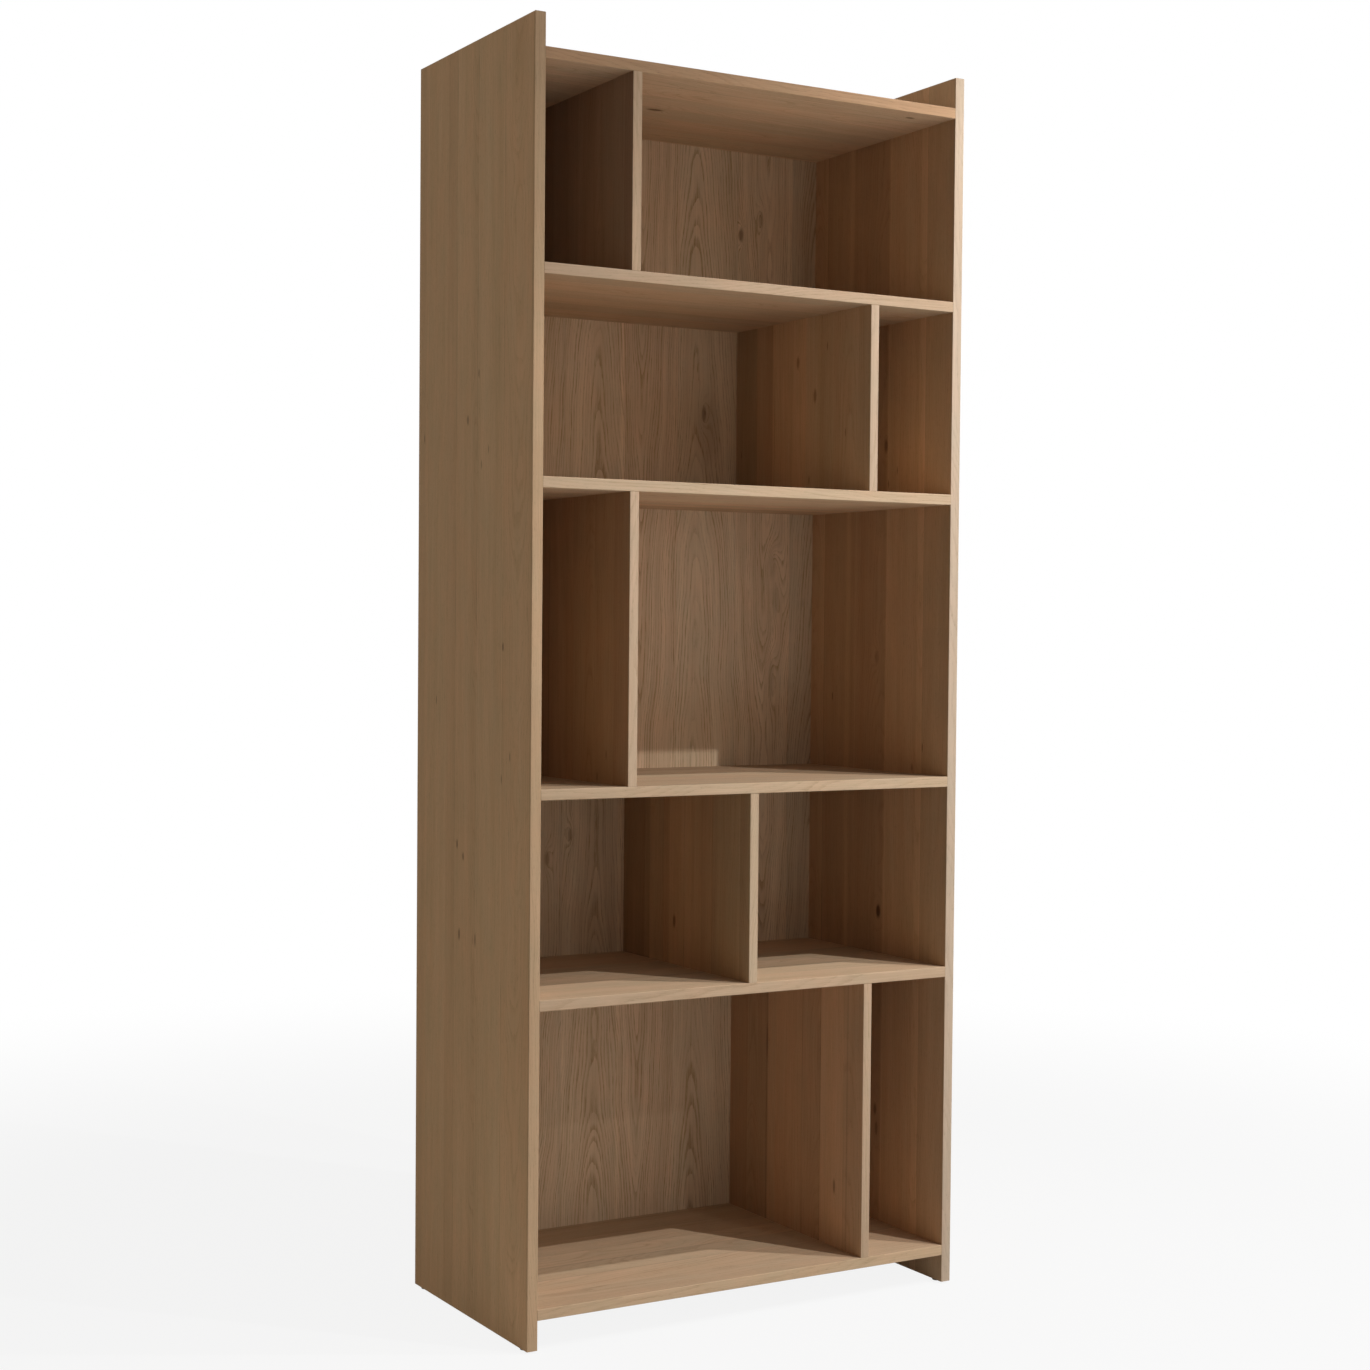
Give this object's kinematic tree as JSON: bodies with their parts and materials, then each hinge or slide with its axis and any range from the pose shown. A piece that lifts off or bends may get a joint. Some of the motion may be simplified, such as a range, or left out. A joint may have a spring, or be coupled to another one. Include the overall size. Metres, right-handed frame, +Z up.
{
  "type": "bookcase",
  "caption": "Tall open-front oak bookcase: fixed shelves between raised sides, staggered upright dividers, a thin grained back panel and wall brackets on top.",
  "frame": {"origin": "on the floor under the middle of the case", "axes": "+X to the right seen from the front, -Y out of the open front, +Z up"},
  "size_m": [0.8, 0.4, 2],
  "materials": {
    "oak": "oiled solid oak, satin",
    "oak_veneer": "oiled oak veneer, satin",
    "beech": "turned beech, unfinished",
    "zinc_steel": "zinc plated",
    "glide_plastic": "moulded, dark brown",
    "bracket_steel": "zinc plated strip"
  },
  "bodies": {
    "root": {"left_side_panel": "oak", "right_side_panel": "oak", "top_panel": "oak", "shelf_1": "oak", "shelf_2": "oak", "shelf_3": "oak", "shelf_4": "oak", "bottom_panel": "oak", "divider_1": "oak", "divider_2": "oak", "divider_3": "oak", "divider_4": "oak", "divider_5": "oak", "back_panel": "oak_veneer", "top_panel_dowels": "beech", "shelf_1_dowels": "beech", "shelf_2_dowels": "beech", "shelf_3_dowels": "beech", "shelf_4_dowels": "beech", "bottom_panel_dowels": "beech", "divider_1_dowels": "beech", "divider_2_dowels": "beech", "divider_3_dowels": "beech", "divider_4_dowels": "beech", "divider_5_dowels": "beech", "back_panel_screws": "zinc_steel", "wall_bracket_screws": "zinc_steel", "foot_glide_nails": "zinc_steel", "foot_glides": "glide_plastic", "wall_bracket_left": "bracket_steel", "wall_bracket_right": "bracket_steel"}
  },
  "joints": []
}
